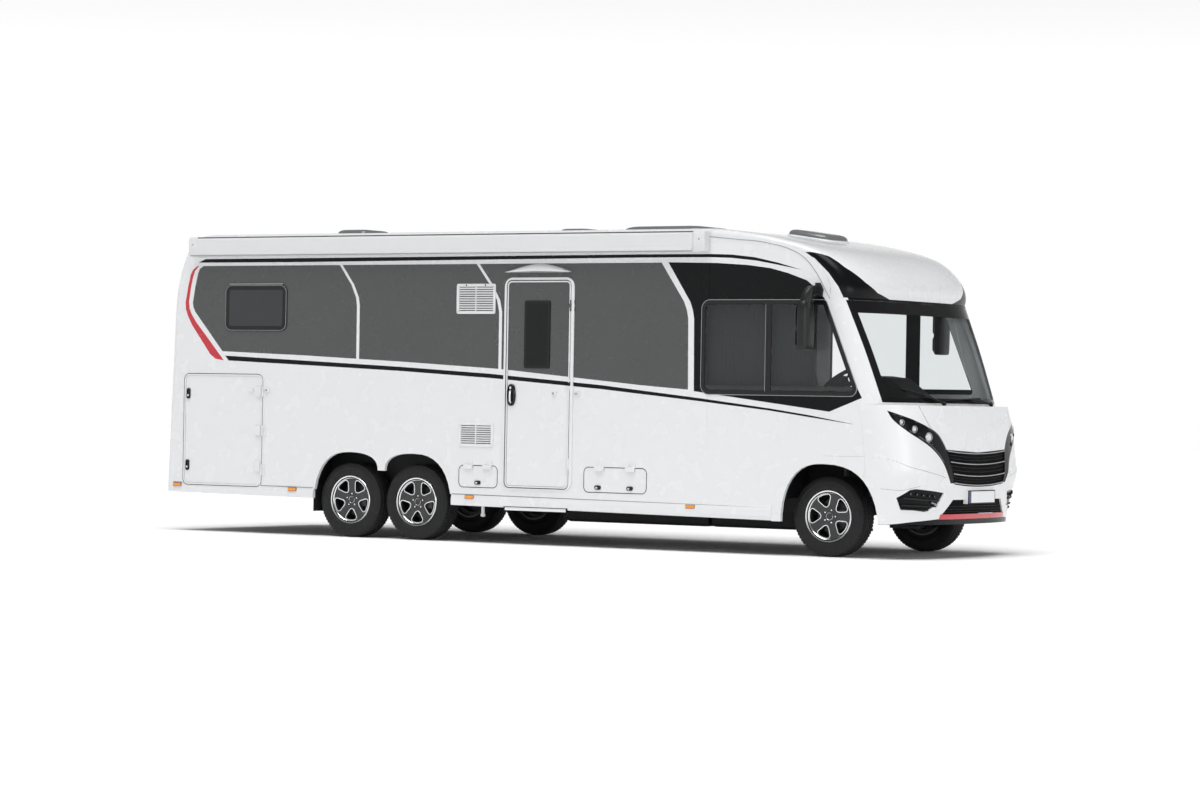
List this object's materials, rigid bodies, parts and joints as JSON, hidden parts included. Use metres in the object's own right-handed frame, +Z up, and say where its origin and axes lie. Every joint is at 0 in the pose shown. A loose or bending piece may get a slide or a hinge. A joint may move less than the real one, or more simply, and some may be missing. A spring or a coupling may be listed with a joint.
{
  "type": "motorhome",
  "caption": "White integrated motorhome with a tandem rear axle, large windscreen, side awning case, entrance door with step, garage doors, service hatches and an opening bonnet.",
  "frame": {"origin": "on the ground under the middle of the bounding box", "axes": "+X forward, +Y to the left side, +Z up"},
  "size_m": [8.254, 2.82, 2.967],
  "materials": {
    "body_white": "glossy white paint",
    "awning_grey": "satin light grey paint",
    "red_trim": "glossy red paint",
    "black_plastic": "matt black plastic",
    "gloss_black": "glossy black plastic",
    "white_plastic": "white plastic",
    "tinted_window": "dark tinted acrylic",
    "screen_glass": "clear laminated glass",
    "lamp_clear": "dark lamp unit with clear lenses",
    "lamp_red": "red lamp cover",
    "steel": "black chassis paint",
    "cast": "cast iron",
    "alloy": "dark alloy with polished edges",
    "tyre": "tyre rubber",
    "floor_wood": "sealed underside",
    "seat_cloth": "beige cloth",
    "plate_white": "blank white plate"
  },
  "bodies": {
    "chassis": {"chassis_frame": "steel", "rear_axles": "cast", "front_suspension": "cast", "floor_panel": "floor_wood", "wheel_housings": "black_plastic", "right_side_wall": "body_white", "left_side_wall": "body_white", "rear_wall": "body_white", "roof_panel": "body_white", "right_cab_panel": "body_white", "left_cab_panel": "body_white", "front_fenders": "body_white", "windscreen_frame": "gloss_black", "cab_roof_cap": "body_white", "windscreen": "screen_glass", "scuttle_panel": "black_plastic", "grille": "gloss_black", "front_lamps": "lamp_clear", "front_bumper": "body_white", "bumper_bar": "red_trim", "number_plate": "plate_white", "rear_bumper": "body_white", "rear_lamps": "lamp_red", "side_skirts": "body_white", "awning_case": "awning_grey", "roof_hatches": "tinted_window", "side_windows": "tinted_window", "wall_vents": "white_plastic", "wipers": "black_plastic", "mirrors": "gloss_black", "dashboard": "black_plastic", "cab_seats": "seat_cloth", "engine_block": "cast", "underfloor_tank": "black_plastic", "step_housing": "steel"},
    "entrance_door": {"entrance_door": "body_white", "door_window": "tinted_window"},
    "entrance_step": {"entrance_step": "black_plastic"},
    "garage_door_right": {"garage_door_right": "body_white"},
    "garage_door_left": {"garage_door_left": "body_white"},
    "small_service_hatch": {"small_service_hatch": "body_white"},
    "large_service_hatch": {"large_service_hatch": "body_white"},
    "bonnet": {"bonnet": "body_white"},
    "knuckle_right": {"knuckle_right": "cast"},
    "knuckle_left": {"knuckle_left": "cast"},
    "steering_wheel": {"steering_wheel": "black_plastic"},
    "front_right_wheel": {"front_right_tyre": "tyre", "front_right_rim": "alloy"},
    "front_left_wheel": {"front_left_tyre": "tyre", "front_left_rim": "alloy"},
    "middle_right_wheel": {"middle_right_tyre": "tyre", "middle_right_rim": "alloy"},
    "middle_left_wheel": {"middle_left_tyre": "tyre", "middle_left_rim": "alloy"},
    "rear_right_wheel": {"rear_right_tyre": "tyre", "rear_right_rim": "alloy"},
    "rear_left_wheel": {"rear_left_tyre": "tyre", "rear_left_rim": "alloy"}
  },
  "joints": [
    {"name": "right_steer", "type": "hinge", "parent": "chassis", "child": "knuckle_right", "pos_m": [3.1377, -0.79, 0.355], "axis": [0, 0, 1], "range_deg": [-36, 36]},
    {"name": "left_steer", "type": "hinge", "parent": "chassis", "child": "knuckle_left", "pos_m": [3.1377, 0.79, 0.355], "axis": [0, 0, 1], "range_deg": [-36, 36]},
    {"name": "front_right_wheel_spin", "type": "hinge", "parent": "knuckle_right", "child": "front_right_wheel", "pos_m": [3.1377, -0.8975, 0.355], "axis": [0, 1, 0], "continuous": true},
    {"name": "middle_right_wheel_spin", "type": "hinge", "parent": "chassis", "child": "middle_right_wheel", "pos_m": [-1.18294, -0.9975, 0.355], "axis": [0, 1, 0], "continuous": true},
    {"name": "rear_right_wheel_spin", "type": "hinge", "parent": "chassis", "child": "rear_right_wheel", "pos_m": [-1.94644, -0.9975, 0.355], "axis": [0, 1, 0], "continuous": true},
    {"name": "front_left_wheel_spin", "type": "hinge", "parent": "knuckle_left", "child": "front_left_wheel", "pos_m": [3.1377, 0.8975, 0.355], "axis": [0, 1, 0], "continuous": true},
    {"name": "middle_left_wheel_spin", "type": "hinge", "parent": "chassis", "child": "middle_left_wheel", "pos_m": [-1.18294, 0.9975, 0.355], "axis": [0, 1, 0], "continuous": true},
    {"name": "rear_left_wheel_spin", "type": "hinge", "parent": "chassis", "child": "rear_left_wheel", "pos_m": [-1.94644, 0.9975, 0.355], "axis": [0, 1, 0], "continuous": true},
    {"name": "steering_wheel_turn", "type": "hinge", "parent": "chassis", "child": "steering_wheel", "pos_m": [2.66, 0.42, 1.295], "axis": [-0.6428, 0, 0.766], "range_deg": [-540, 540]},
    {"name": "entrance_door_hinge", "type": "hinge", "parent": "chassis", "child": "entrance_door", "pos_m": [0.54856, -1.185, 1.4695], "axis": [0, 0, 1], "range_deg": [0, 165]},
    {"name": "garage_door_right_hinge", "type": "hinge", "parent": "chassis", "child": "garage_door_right", "pos_m": [-2.95157, -1.185, 0.989], "axis": [0, 0, 1], "range_deg": [0, 165]},
    {"name": "garage_door_left_hinge", "type": "hinge", "parent": "chassis", "child": "garage_door_left", "pos_m": [-2.95157, 1.185, 0.989], "axis": [0, 0, -1], "range_deg": [0, 165]},
    {"name": "small_hatch_hinge", "type": "hinge", "parent": "chassis", "child": "small_service_hatch", "pos_m": [-0.44251, -1.185, 0.7135], "axis": [1, 0, 0], "range_deg": [-90, 0]},
    {"name": "large_hatch_hinge", "type": "hinge", "parent": "chassis", "child": "large_service_hatch", "pos_m": [1.04651, -1.185, 0.7285], "axis": [1, 0, 0], "range_deg": [-90, 0]},
    {"name": "bonnet_hinge", "type": "hinge", "parent": "chassis", "child": "bonnet", "pos_m": [3.85, 0, 1.29], "axis": [0, -1, 0], "range_deg": [0, 55]},
    {"name": "entrance_step_slide", "type": "slide", "parent": "chassis", "child": "entrance_step", "axis": [0, -1, 0], "range_m": [0, 0.25]}
  ],
  "couplings": [
    {"joint": "left_steer", "follows": "right_steer", "ratio": 1},
    {"joint": "steering_wheel_turn", "follows": "right_steer", "ratio": 15}
  ]
}
